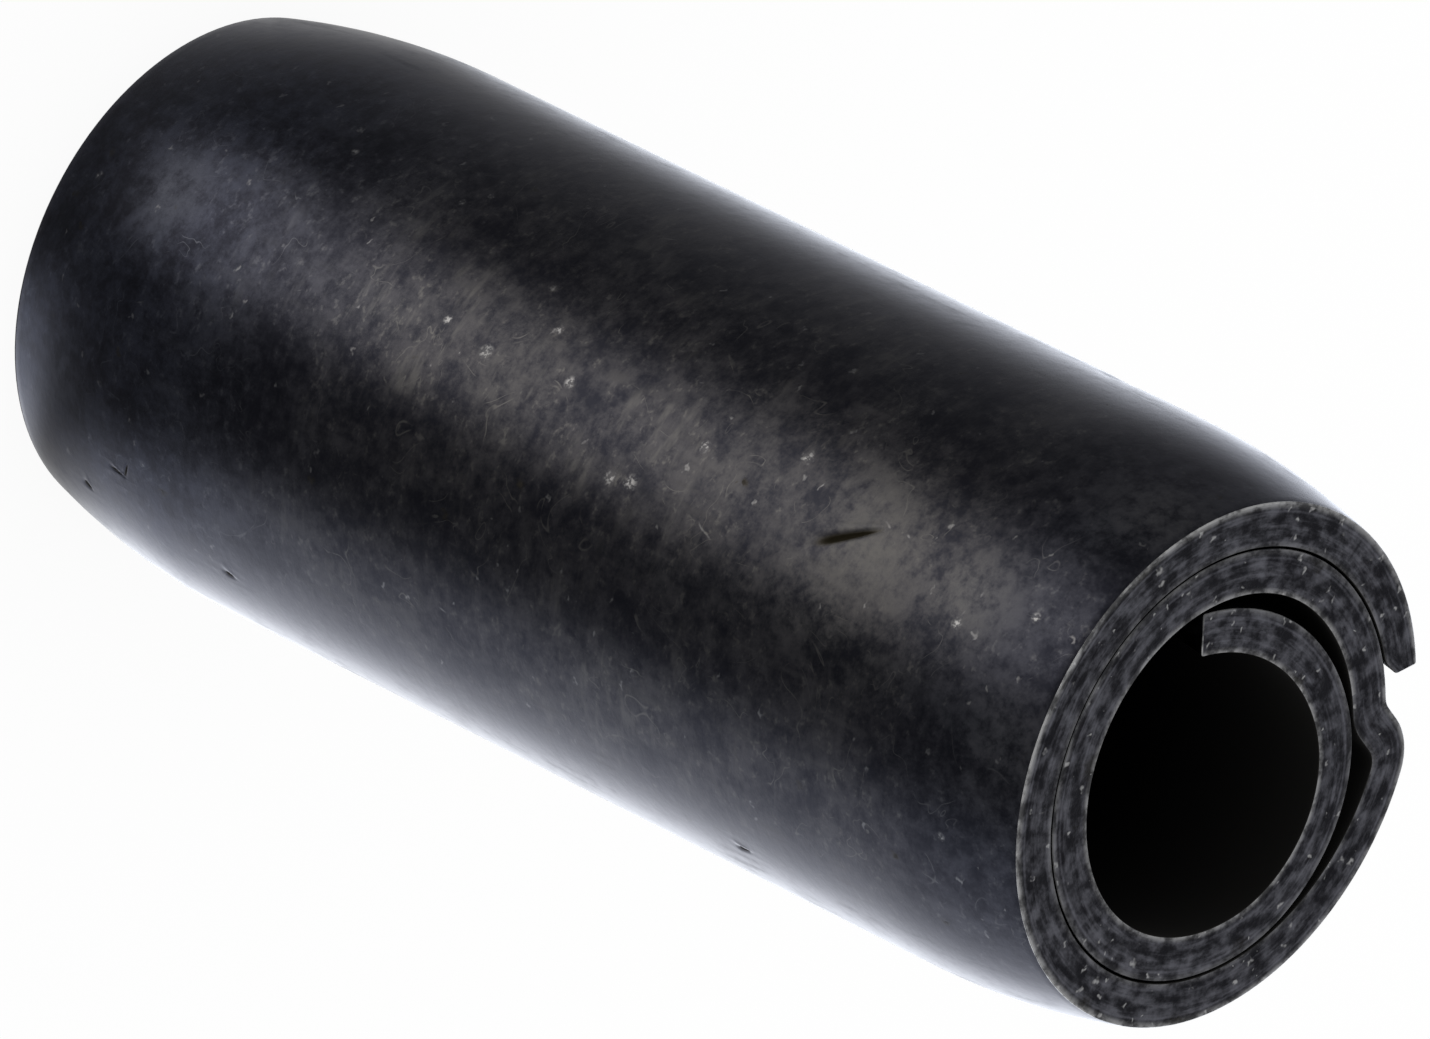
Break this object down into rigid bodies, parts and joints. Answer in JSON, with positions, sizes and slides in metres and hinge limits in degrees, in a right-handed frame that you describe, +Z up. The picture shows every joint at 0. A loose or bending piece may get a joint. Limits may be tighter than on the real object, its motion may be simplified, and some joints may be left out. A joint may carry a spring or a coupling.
{
  "type": "coiled spring pin",
  "caption": "Coiled spring pin: one strip of spring steel rolled about two and a quarter turns, with swaged lead-in ends, pressed into a hole to fasten or locate two parts.",
  "frame": {"origin": "on the pin's axis at the bottom end face", "axes": "+Z up the pin's axis to the top end; the free edge of the outer coil faces +X and +Y, at 40 degrees from +X"},
  "size_m": [0.0084, 0.0084, 0.0202],
  "materials": {
    "black_oxide_steel": "black oxide over spring steel, oiled, mottled, with rubbed and scuffed spots"
  },
  "bodies": {
    "root": {"coiled_pin": "black_oxide_steel"}
  },
  "joints": []
}
